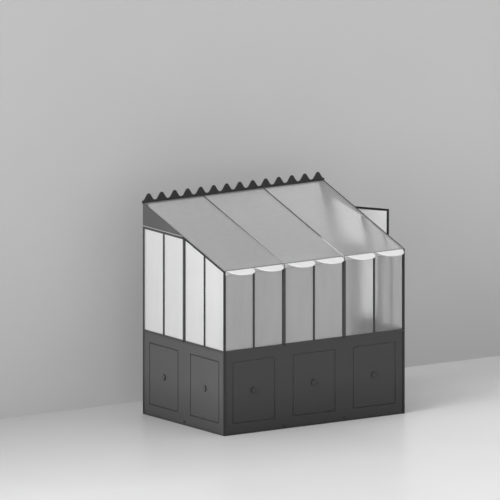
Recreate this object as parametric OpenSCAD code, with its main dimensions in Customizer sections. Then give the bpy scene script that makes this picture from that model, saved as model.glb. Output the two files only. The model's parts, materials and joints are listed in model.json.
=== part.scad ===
// Lean-to orangery: a glazed steel frame on pressed steel base panels, with a
// single-pitch glass roof, a wavy cresting and a door in its right-hand side.
// Millimetres, +Z up. The front faces -Y and the house wall stands behind, at +Y.
// The origin lies on the ground, under the middle of the rear sill.

/* [Overall] */
// Width along the front
width = 2190; // [1825:5:2628]
// Depth from the house wall to the front
depth = 1460; // [1220:5:1752]
// Height of the roof line at the front
eave_h = 1685; // [1600:5:1800]
// Height of the roof line at the house wall
wall_h = 2160; // [2100:5:2592]
// Height of the solid base, up to the foot of the glass
base_h = 863; // [720:1:1035]

/* [Frame] */
// Face width of a post between two bays
post_w = 30; // [25:1:36]
// Face width of a mullion in the middle of a bay
mullion_w = 11; // [9:1:14]
// Face width of the post at the house wall
wall_post_w = 12; // [10:1:15]
// Face width of the wall post that carries the door
jamb_w = 45; // [40:1:54]
// Width of a wall post's leg against the house wall
leg_w = 38; // [32:1:46]
// How far the glass lies behind the face of the frame
glass_set = 12; // [10:1:15]
// Thickness of the glass
glass_t = 4; // [3:0.5:6]
// Room left round the edge of a pane
glass_gap = 2; // [1:0.5:4]
// How far a flange laps behind the glass
lap = 6; // [5:1:8]
// Thickness of a flange
flange_t = 3; // [2:0.5:4]
// Depth of the stem behind a flange
stem_d = 25; // [20:1:30]
// Thickness of a stem
stem_t = 5; // [4:1:8]

/* [Base] */
// Width of the flat bar of the sill
sill_w = 40; // [34:1:48]
// Thickness of the flat bar of the sill
sill_t = 5; // [4:1:8]
// Thickness of the pressed sheet
sheet_t = 2; // [1.5:0.5:3]
// How far a base panel lies behind the face of the frame
panel_set = 8; // [6:1:10]
// Width of the line pressed round the field of a panel
line_w = 12; // [10:1:15]
// Depth of the pressed line
press_d = 8; // [6:1:10]
// How far each side of the pressed line leans in
press_draft = 3; // [2:0.5:4]
// Distance of the pressed line from the ends of its bay
field_side = 105; // [88:1:126]
// Height of the pressed line's lower edge
field_z = 113; // [95:1:135]
// Distance of the pressed line below the foot of the glass
field_top = 113; // [95:1:135]
// Radius of the rosette
rosette_r = 33; // [27:1:40]
// Height of the rosette above its panel
rosette_h = 20; // [17:1:24]
// Height of the rosette's straight rim
rim_h = 13; // [10:1:15]
// Radius at which a groove is turned into the rosette
ring_r = 16; // [13:1:19]
// Radius of that groove
groove_r = 3; // [2:0.5:4]
// Height of the dado rail on top of the base panels
dado_h = 18; // [15:1:22]

/* [Roof] */
// Height of a rake rail, square to the slope
rake_h = 19; // [16:1:23]
// How far the bars of the roof stand above its glass
bar_proud = 4; // [2:1:6]
// Thickness of the tape that beds the roof glass on its bars
glass_bed = 0.3; // [0.2:0.1:1]
// Face width of a bar between two roof panes
bar_w = 5; // [4:0.5:6]
// Height of the eave beam
eave_beam_h = 45; // [38:1:54]
// Depth of the eave beam
eave_beam_d = 32; // [27:1:38]
// Thickness of the lip round the roof glass
lip_t = 4; // [3:0.5:5]
// Height of the wall plate
wall_plate_h = 28; // [24:1:34]
// Depth of the wall plate
wall_plate_d = 12; // [10:1:14]
// Height of the head rail's lower edge
head_z = 1898; // [1850:1:1960]
// Height of the head rail
head_h = 22; // [18:1:26]
// Radius of the hem along the foot of a gable panel
hem_r = 4; // [3:0.5:5]
// Gap between the closed door leaf and that hem
hem_gap = 5; // [5:1:8]

/* [Ornament] */
// Number of waves in the cresting
waves = 14; // [10:1:18]
// Height of the plain band under the waves
crest_band = 27; // [23:1:32]
// Height of a wave
wave_h = 70; // [58:1:84]
// Radius of the top of a wave
crest_top_r = 26; // [22:1:30]
// Radius of the hollow between two waves
crest_foot_r = 34; // [28:1:38]
// Thickness of the cresting plate
crest_t = 4; // [3:1:5]
// How far the cresting reaches past each side
crest_past = 10; // [8:1:12]
// Gap between the two eave tongues of a bay
tongue_gap = 46; // [38:1:55]
// Gap between the tongues of two neighbouring bays
bay_gap = 80; // [67:1:96]
// How far an eave tongue reaches out
tongue_l = 152; // [127:1:182]
// Angle at which the tongues slope down
tongue_pitch = 10.7; // [5:0.1:18]
// Thickness of an eave tongue
tongue_t = 3; // [2:1:4]
// Gap between the strips of two neighbouring bays
strip_gap = 9; // [7:1:11]

/* [Door] */
// Angle at which the door stands open
door_open = 31.6; // [0:0.1:85]
// Distance of the hinge line from the house wall
hinge_in = 32; // [28:1:36]
// Thickness of the door leaf
leaf_t = 16; // [14:1:19]
// Gap between the closed leaf and the face of the frame
leaf_gap = 5; // [5:1:8]
// Face width of the bars of the leaf
leaf_bar = 14; // [13:1:17]
// How far the panel of the leaf lies behind its face
leaf_set = 2; // [1:0.5:3]
// How far the closed leaf laps over the post
leaf_lap = 7; // [5:1:10]
// How far the leaf stays below the top of the head rail
leaf_below = 3; // [0:1:8]
// Height of the leaf's lower edge
leaf_z = 15; // [12:1:20]
// Height of the bottom rail of the leaf
kick_h = 60; // [50:1:72]
// Gap between the leaf and the hinge knuckles
knuckle_gap = 3; // [2:0.5:4]
// Radius of a hinge knuckle
knuckle_r = 7; // [6:0.5:8]
// Radius of a hinge pin
pin_r = 3; // [2.5:0.5:4]
// Running clearance round the pin and between the knuckles
pin_play = 0.3; // [0.2:0.1:0.5]
// Thickness of the plates that carry the knuckles
hinge_plate = 10; // [8:1:12]
// Height of a hinge
hinge_l = 90; // [75:1:108]
// Height of the lowest hinge's foot
hinge_low = 220; // [190:10:260]
// Distance between two hinges
hinge_pitch = 740; // [620:10:760]
// Length of the pull handle
pull_l = 180; // [150:5:220]
// Radius of the pull handle's bar
pull_r = 6; // [5:0.5:8]
// Radius of the pull handle's stand-offs
standoff_r = 4.8; // [4:0.2:6]
// Distance of a stand-off from the end of the pull handle
standoff_in = 12; // [10:1:14]
// Radius of the rose under a stand-off
rose_r = 6.5; // [5.5:0.5:6.5]
// Thickness of that rose
rose_t = 3; // [2.5:0.5:4]
// How far the pull handle stands out
pull_out = 42; // [35:1:50]
// Height of the middle of the pull handle
pull_z = 1050; // [950:10:1150]

/* [Fixing] */
// Radius of a wall bolt hole
bolt_r = 4.5; // [3.5:0.5:5.5]
// Height of the lower wall bolts
bolt_z = 300; // [250:10:360]
// Distance between the wall bolts of one post
bolt_pitch = 1300; // [1100:10:1400]

/* [Hidden] */
$fn = 48;

steel = "#3c3c3c";
panel_grey = "#4a4a4a";
frosted = "#c8c8c8";
white = "#f2f2f2";

front_bays = 3;
side_bays = 2;
bay = width / front_bays;
side_bay = depth / side_bays;
back_y = sill_w / 2;
front_y = back_y - depth;
rebate = glass_set + glass_t;        // depth from the face to the flanges
inner = rebate + flange_t;           // depth from the face to a flange's back
dado_z = base_h - dado_h;
post_side = post_w / 2 + lap;        // from a bay line to the end of its flange
beam_z = eave_h - eave_beam_h;       // underside of the eave beam

slope = atan((wall_h - eave_h) / depth);
slope_l = depth / cos(slope);
pane_drop = bar_proud + glass_t;     // from the roof line to the glass's underside
seat_drop = pane_drop + glass_bed;   // from the roof line to the bars under the glass
seat_drop_v = seat_drop / cos(slope);
crest_z = wall_h - seat_drop_v;
side_x = width / 2 - lip_t;          // inner face of a rake rail's lip
bar_x = bay / 2;                     // a roof bar, from the middle of the roof

past = 400;                          // reach of a cutting block past the building
tall = wall_h + past;

leaf_axis_x = width / 2 + leaf_gap + leaf_t / 2;
leaf_axis_y = back_y - hinge_in;
leaf_near = knuckle_r + knuckle_gap; // the leaf's two edges, from the hinge line
leaf_far = depth - hinge_in - side_bay - post_w / 2 + leaf_lap;
leaf_top = head_z + head_h - leaf_below;
leaf_w = leaf_far - leaf_near;
leaf_rebate = leaf_t - flange_t;     // depth of the leaf's glass and panel
leaf_mid_z = base_h - leaf_bar;
hem_z = leaf_top + hem_gap + hem_r;  // middle of a gable panel's hem
knuckle_l = (hinge_l - 2 * pin_play) / 3;
hinge_z = [for (i = [0 : 2]) hinge_low + i * hinge_pitch];

tongue_w = (bay - tongue_gap - bay_gap) / 2;

// height of the roof line at a distance behind the front
function roof_at(d) = eave_h + d * tan(slope);

// ---- places: u runs along a wall from its front or left end, the second axis
// runs inward from the outer face, and z runs up

module on_front() translate([-width / 2, front_y, 0]) children();
module on_right() translate([width / 2, front_y, 0]) rotate([0, 0, 90]) children();
module on_left() mirror([1, 0, 0]) on_right() children();

// y runs up the slope from the eave line, and z runs square out of the roof
module on_roof() translate([0, front_y, eave_h]) rotate([slope, 0, 0]) children();

// x points out of the closed leaf, and the leaf runs along -y from the hinge line
module on_leaf() translate([leaf_axis_x, leaf_axis_y, 0])
  rotate([0, 0, door_open]) children();

// keeps what lies more than a given distance under the roof line, on a side wall,
// where the slope runs along u
module under_rake(drop) intersection() {
  children();
  translate([0, 0, eave_h]) rotate([0, -slope, 0])
    translate([-tall, -past, -tall - drop])
      cube([slope_l + 2 * tall, 2 * past, tall]);
}

// keeps what lies between two distances behind the front
module between_y(d0, d1) intersection() {
  children();
  translate([-width, front_y + d0, -past]) cube([2 * width, d1 - d0, tall + past]);
}

// a block given by its ends along the wall, its depths and its heights
module block(u0, u1, d0, d1, z0, z1)
  translate([u0, d0, z0]) cube([u1 - u0, d1 - d0, z1 - z0]);

// a section drawn in the plane of depth and height, run along the wall
module run_u(u0, u1) translate([u0, 0, 0])
  rotate([90, 0, 90]) linear_extrude(u1 - u0) children();

// a section drawn across the roof's slope, run up the slope
module run_up_slope() on_roof() translate([0, slope_l + past, 0])
  rotate([90, 0, 0]) linear_extrude(slope_l + 2 * past) children();

// ---- sill

module sill_front() color(steel)
  translate([-width / 2, front_y, 0]) cube([width, sill_w, sill_t]);

module side_sill() color(steel) block(sill_w, depth, 0, sill_w, 0, sill_t);
module sill_left() on_left() side_sill();
module sill_right() on_right() side_sill();

module sill_back() color(steel)
  translate([-width / 2 + sill_w, -sill_w / 2, 0])
    cube([width - 2 * sill_w, sill_w, sill_t]);

// ---- posts and mullions

// square bar with a flange behind the glass of each wall, drawn on a side wall
module corner_post() color(steel) {
  under_rake(rake_h) block(0, inner, 0, inner, sill_t, tall);
  under_rake(rake_h + lap) {
    block(inner, inner + lap, rebate, inner, sill_t, tall);
    block(rebate, inner, inner, inner + lap, sill_t, tall);
  }
}

module corner_post_left() on_left() corner_post();
module corner_post_right() on_right() corner_post();

// T section: its face bar stands on the dado rail, and its flange and stem run
// down to the sill behind the base panels
module bay_post(u) color(steel) {
  block(u - post_w / 2, u + post_w / 2, 0, rebate, base_h, beam_z);
  block(u - post_w / 2 - lap, u + post_w / 2 + lap, rebate, inner,
        sill_t, beam_z - lap);
  block(u - stem_t / 2, u + stem_t / 2, inner, inner + stem_d,
        sill_t, beam_z - lap);
}

module front_posts() on_front() for (i = [1 : front_bays - 1]) bay_post(i * bay);

// the same section with a raked top; beside the door its face bar reaches the
// sill and nothing laps into the doorway
module side_post(door_side) color(steel) {
  u0 = side_bay - post_w / 2;
  u1 = side_bay + post_w / 2;
  under_rake(rake_h)
    block(u0, u1, 0, rebate, door_side ? sill_t : base_h, tall);
  under_rake(rake_h + lap) {
    block(u0 - lap, door_side ? u1 : u1 + lap, rebate, inner, sill_t, tall);
    block(side_bay - stem_t / 2, side_bay + stem_t / 2, inner, inner + stem_d,
          sill_t, tall);
  }
}

module side_post_left() on_left() side_post(false);
module side_post_right() on_right() side_post(true);

// the post at the house wall, with a leg that is bolted to that wall
module wall_post(face_w, flange_lap) color(steel) {
  leg_d = inner + leg_w;
  under_rake(rake_h) block(depth - face_w, depth, 0, rebate, sill_t, tall);
  under_rake(rake_h + lap)
    block(depth - face_w - flange_lap, depth, rebate, inner, sill_t, tall);
  difference() {
    block(depth - stem_t, depth, inner, leg_d, sill_t, wall_h - wall_plate_h);
    for (i = [0, 1])
      translate([depth - stem_t / 2, inner + leg_w / 2, bolt_z + i * bolt_pitch])
        rotate([0, 90, 0]) cylinder(h = 2 * stem_t, r = bolt_r, center = true);
  }
}

module wall_post_left() on_left() wall_post(wall_post_w, lap);
module wall_post_right() on_right() wall_post(jamb_w, 0);

module mullion_face(u, top)
  block(u - mullion_w / 2, u + mullion_w / 2, 0, rebate, base_h, top);
module mullion_flange(u, top)
  block(u - mullion_w / 2 - lap, u + mullion_w / 2 + lap, rebate, inner,
        base_h + lap, top);

module front_mullions() color(steel) on_front() for (i = [0 : front_bays - 1]) {
  mullion_face((i + 0.5) * bay, beam_z);
  mullion_flange((i + 0.5) * bay, beam_z - lap);
}

module raked_mullion(u) color(steel) {
  under_rake(rake_h) mullion_face(u, tall);
  under_rake(rake_h + lap) mullion_flange(u, tall);
}

module side_mullions() {
  on_left() raked_mullion(0.5 * side_bay);
  on_right() raked_mullion(0.5 * side_bay);
  color(steel) on_left() {
    mullion_face(1.5 * side_bay, head_z);
    mullion_flange(1.5 * side_bay, head_z - lap);
  }
}

// ---- base

// turned button: a straight rim, a domed face and a groove round its middle
module rosette() {
  rise = rosette_h - rim_h;
  dome_r = (pow(rosette_r, 2) + pow(rise, 2)) / (2 * rise);
  dome_z = rosette_h - dome_r;
  rotate_extrude() difference() {
    union() {
      square([rosette_r, rim_h]);
      intersection() {
        square([rosette_r, rosette_h]);
        translate([0, dome_z]) circle(r = dome_r);
      }
    }
    translate([ring_r, dome_z + sqrt(pow(dome_r, 2) - pow(ring_r, 2))])
      circle(r = groove_r);
  }
}

// section across the pressed line: distances from its middle, and depths. It runs
// from depth d0 to d1 behind the panel's face, and may be grown by the sheet
function line_section(d0, d1, grow) = [for (p = [[-1, d0], [1, d0], [1, d1], [-1, d1]])
  [p[0] * (line_w / 2 - press_draft * p[1] / press_d + grow), p[1]]];

// that section run round a field
module pressed_line(f0, f1, z0, z1, d0, d1, grow) {
  section = line_section(d0, d1, grow);
  short = press_draft - grow;        // each side stops where the next one's floor ends
  for (u = [f0 + line_w / 2, f1 - line_w / 2])
    translate([u, 0, z0 + short]) linear_extrude(z1 - z0 - 2 * short)
      polygon(section);
  for (z = [z0 + line_w / 2, z1 - line_w / 2])
    translate([0, 0, z]) run_u(f0 + short, f1 - short)
      polygon([for (p = section) [p[1], p[0]]]);
}

// shallow tray of pressed sheet with a line pressed round its field. It lies between
// two distances along the wall and two depths, and f0 and f1 are the field's ends
module pressed_panel(u0, u1, d0, d1, z0, z1, f0, f1) color(panel_grey)
  translate([0, d0, 0]) {
  top = base_h - field_top;
  difference() {
    union() {
      difference() {
        block(u0, u1, 0, d1 - d0, z0, z1);
        block(u0 + sheet_t, u1 - sheet_t, sheet_t, d1, z0 + sheet_t, z1 - sheet_t);
      }
      pressed_line(f0, f1, field_z, top, 0, press_d + sheet_t, sheet_t);
    }
    pressed_line(f0, f1, field_z, top, -1, press_d, 0);
  }
  translate([(f0 + f1) / 2, 0, (field_z + top) / 2]) rotate([90, 0, 0]) rosette();
}

module base_panel(start, end, bay_start, bay_l)
  pressed_panel(start, end, panel_set, rebate, sill_t, dado_z,
                bay_start + field_side, bay_start + bay_l - field_side);

module base_panel_front_left() on_front() base_panel(inner, bay, 0, bay);
module base_panel_front_middle() on_front() base_panel(bay, 2 * bay, bay, bay);
module base_panel_front_right() on_front()
  base_panel(2 * bay, width - inner, 2 * bay, bay);
module base_panel_left_front() on_left() base_panel(inner, side_bay, 0, side_bay);
module base_panel_left_rear() on_left()
  base_panel(side_bay, depth - wall_post_w, side_bay, side_bay);
module base_panel_right_front() on_right()
  base_panel(inner, side_bay - post_w / 2, 0, side_bay);

// bar on top of the base panels; behind each bay it has a flange that backs the
// panel below and the glass above
module dado_rail(u0, u1, flanges) color(panel_grey) {
  block(u0, u1, 0, rebate, dado_z, base_h);
  for (f = flanges) block(f[0], f[1], rebate, inner, dado_z - lap, base_h + lap);
}

module dado_rail_front() on_front() dado_rail(inner, width - inner, [
  for (i = [0 : front_bays - 1]) [
    i == 0 ? inner + lap : i * bay + post_side,
    i == front_bays - 1 ? width - inner - lap : (i + 1) * bay - post_side
  ]]);
module dado_rail_left() on_left() dado_rail(inner, depth - wall_post_w, [
  [inner + lap, side_bay - post_side],
  [side_bay + post_side, depth - wall_post_w - lap]]);
module dado_rail_right() on_right() dado_rail(inner, side_bay - post_w / 2, [
  [inner + lap, side_bay - post_side]]);

// ---- heads and gables

module head_rail(u0, u1, side_lap, low_lap) color(steel) {
  under_rake(rake_h) block(u0, u1, 0, rebate, head_z, head_z + head_h);
  under_rake(rake_h + lap)
    block(u0 + side_lap, u1 - side_lap, rebate, inner, head_z - low_lap,
          head_z + head_h + lap);
}

module head_rail_left() on_left()
  head_rail(side_bay + post_w / 2, depth - wall_post_w, lap, lap);
module head_rail_right() on_right()
  head_rail(side_bay + post_w / 2, depth - jamb_w, 0, 0);

// sheet on the face of the frame, over the triangle between the head rail, the rake
// rail and the wall post; its lower edge is rolled into a hem
module gable_panel() color(panel_grey) under_rake(0) {
  block(side_bay + post_w / 2, depth - crest_t, -sheet_t, 0, hem_z, tall);
  run_u(side_bay + post_w / 2, depth - crest_t)
    translate([-hem_r, hem_z]) circle(r = hem_r);
}

module gable_panels() {
  on_left() gable_panel();
  on_right() gable_panel();
}

// ---- roof

// the front part closes the wall between the corner posts; the rear part carries
// the glass and hangs a flange behind the front glass
module eave_beam() color(steel) on_front() {
  run_u(inner, width - inner) polygon([
    [0, beam_z], [0, roof_at(0)], [lip_t, roof_at(lip_t)],
    [lip_t, roof_at(lip_t) - seat_drop_v], [rebate, roof_at(rebate) - seat_drop_v],
    [rebate, beam_z]]);
  run_u(inner + lap, width - inner - lap) polygon([
    [rebate, beam_z - lap], [rebate, roof_at(rebate) - seat_drop_v],
    [eave_beam_d, roof_at(eave_beam_d) - seat_drop_v], [eave_beam_d, beam_z],
    [inner, beam_z], [inner, beam_z - lap]]);
}

// bar over the side wall, with a seat under the roof glass, a lip round it and a
// flange behind the side glass; drawn for the right-hand side
module rake_rail() color(steel) {
  side = width / 2;
  between_y(0, depth) run_up_slope()
    translate([side - inner, -rake_h]) square([inner, rake_h - seat_drop]);
  between_y(0, depth - crest_t) run_up_slope()
    translate([side - lip_t, -seat_drop]) square([lip_t, seat_drop]);
  between_y(0, lip_t) run_up_slope()
    translate([side - inner, -seat_drop]) square([inner, seat_drop]);
  between_y(inner, depth - crest_t) run_up_slope()
    translate([side - inner, -rake_h - lap]) square([flange_t, lap]);
}

module rake_rail_right() rake_rail();
module rake_rail_left() mirror([1, 0, 0]) rake_rail();

// T bar under each joint between two roof panes, with a nib that parts them
module rafter(x) color(steel) {
  between_y(lip_t, depth - crest_t) run_up_slope()
    translate([x - bar_w / 2, -seat_drop]) square([bar_w, seat_drop]);
  between_y(eave_beam_d, depth - wall_plate_d) run_up_slope() {
    translate([x - bar_w / 2 - lap, -seat_drop - flange_t])
      square([bar_w + 2 * lap, flange_t]);
    translate([x - stem_t / 2, -seat_drop - flange_t - stem_d])
      square([stem_t, stem_d]);
  }
}

module rafters() for (i = [1 : front_bays - 1]) rafter(i * bay - width / 2);

// beam on the house wall: it carries the upper edge of the glass and the cresting
module wall_plate() color(steel) {
  front_d = depth - wall_plate_d;
  crest_d = depth - crest_t;
  foot_z = wall_h - wall_plate_h;
  on_front() run_u(inner, width - inner) polygon([
    [front_d, foot_z], [front_d, roof_at(front_d) - seat_drop_v],
    [crest_d, roof_at(crest_d) - seat_drop_v], [crest_d, crest_z],
    [depth, crest_z], [depth, foot_z]]);
}

// points along an arc round a centre
function arc(centre, r, from, to, steps) = [for (i = [0 : steps])
  let (turn = from + (to - from) * i / steps) centre + r * [cos(turn), sin(turn)]];

// plate whose top edge is a row of bells: round tops and hollows, joined by straight
// flanks that touch both
module cresting() color(steel) {
  half = width / 2 + crest_past;
  reach = half / waves;              // from the middle of a wave to its hollow
  both_r = crest_top_r + crest_foot_r;
  rise = wave_h - both_r;
  flank = atan2(rise, reach) + asin(both_r / norm([reach, rise]));
  foot = [reach, crest_band + crest_foot_r];
  top = [0, crest_band + wave_h - crest_top_r];
  wave = concat(
    arc([-foot.x, foot.y], crest_foot_r, -90, flank - 90, 5),
    arc(top, crest_top_r, 90 + flank, 90 - flank, 12),
    arc(foot, crest_foot_r, -90 - flank, -90, 5));
  // the lowest point of a hollow is written once, by the wave that follows it
  outline = [for (i = [0 : waves - 1]) for (j = [0 : len(wave) - 2])
    wave[j] + [(2 * i + 1 - waves) * reach, 0]];
  translate([0, back_y, crest_z]) rotate([90, 0, 0]) linear_extrude(crest_t)
    polygon(concat([[-half, 0]], outline, [[half, crest_band], [half, 0]]));
}

// ---- glass

module roof_pane(x0, x1) color(frosted)
  between_y(lip_t + glass_gap, depth - crest_t - glass_gap) run_up_slope()
    translate([x0 + glass_gap, -pane_drop])
      square([x1 - x0 - 2 * glass_gap, glass_t]);

module roof_glass_left() roof_pane(-side_x, -bar_x - bar_w / 2);
module roof_glass_middle() roof_pane(-bar_x + bar_w / 2, bar_x - bar_w / 2);
module roof_glass_right() roof_pane(bar_x + bar_w / 2, side_x);

module pane(u0, u1, top) color(frosted)
  block(u0 + glass_gap, u1 - glass_gap, glass_set, rebate, base_h, top - glass_gap);

// the two panes of a bay, on each side of its mullion
module pair(u0, u1, middle, top) {
  pane(u0, middle - mullion_w / 2, top);
  pane(middle + mullion_w / 2, u1, top);
}

module front_glass() on_front() for (i = [0 : front_bays - 1])
  pair(i == 0 ? inner : i * bay + post_w / 2,
       i == front_bays - 1 ? width - inner : (i + 1) * bay - post_w / 2,
       (i + 0.5) * bay, beam_z);

module raked_pair() under_rake(rake_h + glass_gap)
  pair(inner, side_bay - post_w / 2, 0.5 * side_bay, tall);

module left_glass() on_left() {
  raked_pair();
  pair(side_bay + post_w / 2, depth - wall_post_w, 1.5 * side_bay, head_z);
}

module right_glass() on_right() raked_pair();

// ---- eave scallops

// half an ellipse, hanging out from y = 0 towards -y
module tongue_outline() {
  steps = 24;
  polygon(concat(
    [for (i = [0 : steps]) let (turn = 180 * i / steps)
      [tongue_w / 2 * cos(turn), -tongue_l * sin(turn)]],
    [[-tongue_w / 2, tongue_t], [tongue_w / 2, tongue_t]]));
}

// one folded strip for each bay: a band over the eave beam's face, with two tongues
module eave_scallops() color(white) on_front() for (i = [0 : front_bays - 1]) {
  start = i == 0 ? inner : i * bay + strip_gap / 2;
  end = i == front_bays - 1 ? width - inner : (i + 1) * bay - strip_gap / 2;
  block(start, end, -tongue_t, 0, beam_z, eave_h);
  for (side = [-1, 1]) intersection() {
    translate([(i + 0.5) * bay + side * (tongue_gap + tongue_w) / 2, 0, eave_h])
      rotate([tongue_pitch, 0, 0]) translate([0, 0, -tongue_t])
        linear_extrude(tongue_t) tongue_outline();
    block(0, width, -past, 0, 0, eave_h);
  }
}

// ---- door

// weld-on hinge: two fixed knuckles with the pin, and one knuckle on the leaf
module hinge_frame(z) color(steel) translate([leaf_axis_x, leaf_axis_y, z]) {
  reach = leaf_gap + leaf_t / 2;     // from the hinge line to the jamb's face
  for (low = [0, hinge_l - knuckle_l]) translate([0, 0, low]) {
    cylinder(h = knuckle_l, r = knuckle_r);
    translate([-reach, -knuckle_gap, 0])
      cube([reach, hinge_plate / 2 + knuckle_gap, knuckle_l]);
  }
  cylinder(h = hinge_l, r = pin_r);
}

module hinge_leaf(z) color(steel) on_leaf()
  translate([0, 0, z + knuckle_l + pin_play]) difference() {
    union() {
      cylinder(h = knuckle_l, r = knuckle_r);
      translate([-hinge_plate / 2, -leaf_near, 0])
        cube([hinge_plate, leaf_near, knuckle_l]);
    }
    translate([0, 0, -1]) cylinder(h = knuckle_l + 2, r = pin_r + pin_play);
  }

module hinge_frames() for (z = hinge_z) hinge_frame(z);
module hinge_leaves() for (z = hinge_z) hinge_leaf(z);

// a block in the leaf: w from the hinge edge, d inward from the outer face
module leaf_block(w0, w1, d0, d1, z0, z1)
  on_leaf() translate([leaf_t / 2 - d1, -leaf_near - w1, z0])
    cube([d1 - d0, w1 - w0, z1 - z0]);

module door_stiles() color(steel) {
  leaf_block(0, leaf_bar, 0, leaf_t, leaf_z, leaf_top);
  leaf_block(leaf_bar, leaf_bar + lap, leaf_rebate, leaf_t, leaf_z, leaf_top);
  leaf_block(leaf_w - leaf_bar, leaf_w, 0, leaf_t, leaf_z, leaf_top);
  leaf_block(leaf_w - leaf_bar - lap, leaf_w - leaf_bar, leaf_rebate, leaf_t,
             leaf_z, leaf_top);
}

module leaf_rail(z0, z1, lap0, lap1) color(steel) {
  leaf_block(leaf_bar, leaf_w - leaf_bar, 0, leaf_rebate, z0, z1);
  leaf_block(leaf_bar + lap, leaf_w - leaf_bar - lap, leaf_rebate, leaf_t,
             z0 - lap0, z1 + lap1);
}

module door_rails() {
  leaf_rail(leaf_z, leaf_z + kick_h, 0, lap);
  leaf_rail(leaf_mid_z, base_h, lap, lap);
  leaf_rail(leaf_top - leaf_bar, leaf_top, lap, 0);
}

module door_panel() on_leaf() translate([leaf_t / 2, -leaf_near - leaf_w, 0])
  rotate([0, 0, 90])
    pressed_panel(leaf_bar, leaf_w - leaf_bar, leaf_set, leaf_rebate,
                  leaf_z + kick_h, leaf_mid_z, field_side, leaf_w - field_side);

module door_glass() color(frosted)
  leaf_block(leaf_bar + glass_gap, leaf_w - leaf_bar - glass_gap,
             leaf_rebate - glass_t, leaf_rebate, base_h,
             leaf_top - leaf_bar - glass_gap);

// upright pull bar on two stand-offs, on the free stile
module door_handle() color("#2c2c2c") on_leaf()
  translate([leaf_t / 2, -leaf_far + leaf_bar / 2, pull_z]) {
    translate([pull_out - pull_r, 0, -pull_l / 2]) cylinder(h = pull_l, r = pull_r);
    for (end = [-1, 1]) translate([0, 0, end * (pull_l / 2 - standoff_in)])
      rotate([0, 90, 0]) {
        cylinder(h = pull_out - pull_r, r = standoff_r);
        cylinder(h = rose_t, r = rose_r);
      }
  }

sill_front();
sill_left();
sill_right();
sill_back();
corner_post_left();
corner_post_right();
wall_post_left();
wall_post_right();
side_post_left();
side_post_right();
front_posts();
front_mullions();
side_mullions();
base_panel_front_left();
base_panel_front_middle();
base_panel_front_right();
base_panel_left_front();
base_panel_left_rear();
base_panel_right_front();
dado_rail_front();
dado_rail_left();
dado_rail_right();
head_rail_left();
head_rail_right();
gable_panels();
eave_beam();
rake_rail_left();
rake_rail_right();
rafters();
wall_plate();
cresting();
roof_glass_left();
roof_glass_middle();
roof_glass_right();
front_glass();
left_glass();
right_glass();
eave_scallops();
hinge_frames();
hinge_leaves();
door_stiles();
door_rails();
door_panel();
door_glass();
door_handle();
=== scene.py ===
# %% [markdown]
# # A lean-to orangery in dark steel and frosted glass
# The building leans on a house wall: a welded steel frame, frosted panes, pressed steel
# panels below them, a wavy cresting on the ridge and white tongues along the eave.
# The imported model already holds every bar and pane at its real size, so this script adds
# only what a drawing leaves out: paint, frosting, seals, fixings, light and a camera.

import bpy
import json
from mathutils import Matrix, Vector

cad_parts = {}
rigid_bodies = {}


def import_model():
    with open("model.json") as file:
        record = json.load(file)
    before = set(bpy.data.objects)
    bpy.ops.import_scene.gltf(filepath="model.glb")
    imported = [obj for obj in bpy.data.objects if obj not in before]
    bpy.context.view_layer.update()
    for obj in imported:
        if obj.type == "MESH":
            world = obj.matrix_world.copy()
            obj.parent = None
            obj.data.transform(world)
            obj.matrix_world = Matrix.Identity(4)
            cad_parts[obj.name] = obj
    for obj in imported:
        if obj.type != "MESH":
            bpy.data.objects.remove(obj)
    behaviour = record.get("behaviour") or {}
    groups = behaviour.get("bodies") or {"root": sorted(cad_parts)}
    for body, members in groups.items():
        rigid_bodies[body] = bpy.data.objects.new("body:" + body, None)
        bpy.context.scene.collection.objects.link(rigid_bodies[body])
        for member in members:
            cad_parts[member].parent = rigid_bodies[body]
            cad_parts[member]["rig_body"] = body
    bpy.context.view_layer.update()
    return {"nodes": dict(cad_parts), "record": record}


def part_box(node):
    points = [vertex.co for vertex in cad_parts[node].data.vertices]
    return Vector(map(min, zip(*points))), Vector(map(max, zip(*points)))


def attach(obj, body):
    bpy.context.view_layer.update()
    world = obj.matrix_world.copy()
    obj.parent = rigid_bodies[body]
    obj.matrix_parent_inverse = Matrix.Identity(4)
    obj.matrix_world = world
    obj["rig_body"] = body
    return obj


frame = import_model()

# %% Tools and places
import json
import math

import bmesh
import bpy
from mathutils import Vector
from mathutils.bvhtree import BVHTree

MM = 0.001                             # the script is in metres, small sizes are in millimetres
FRONT_BAYS = 3
SIDE_BAYS = 2
UP = Vector((0, 0, 1))
OUT_FRONT, OUT_LEFT, OUT_RIGHT = Vector((0, -1, 0)), Vector((-1, 0, 0)), Vector((1, 0, 0))

sill_low, sill_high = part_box("sill_front")
left_x, right_x = sill_low.x, sill_high.x
front_y = sill_low.y
back_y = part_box("sill_back")[1].y
base_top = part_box("dado_rail_right")[1].z
bay = (right_x - left_x) / FRONT_BAYS
side_bay = (back_y - front_y) / SIDE_BAYS
room_middle = Vector(((left_x + right_x) / 2, (front_y + back_y) / 2, base_top))
print("bay:", round(bay, 3), "side bay:", round(side_bay, 3))

# %% [markdown]
# A sheet or a pane is flat, so the direction it faces can be read from the model itself:
# it is the one that most of its area looks in, on the side away from the middle of the
# room. The frosting, the seals and the fixings all need it, and so does the open door,
# which faces neither along X nor along Y.

# %% Which way a flat piece faces
SAME_WAY = 0.99                        # least cosine between two normals that agree


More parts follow.
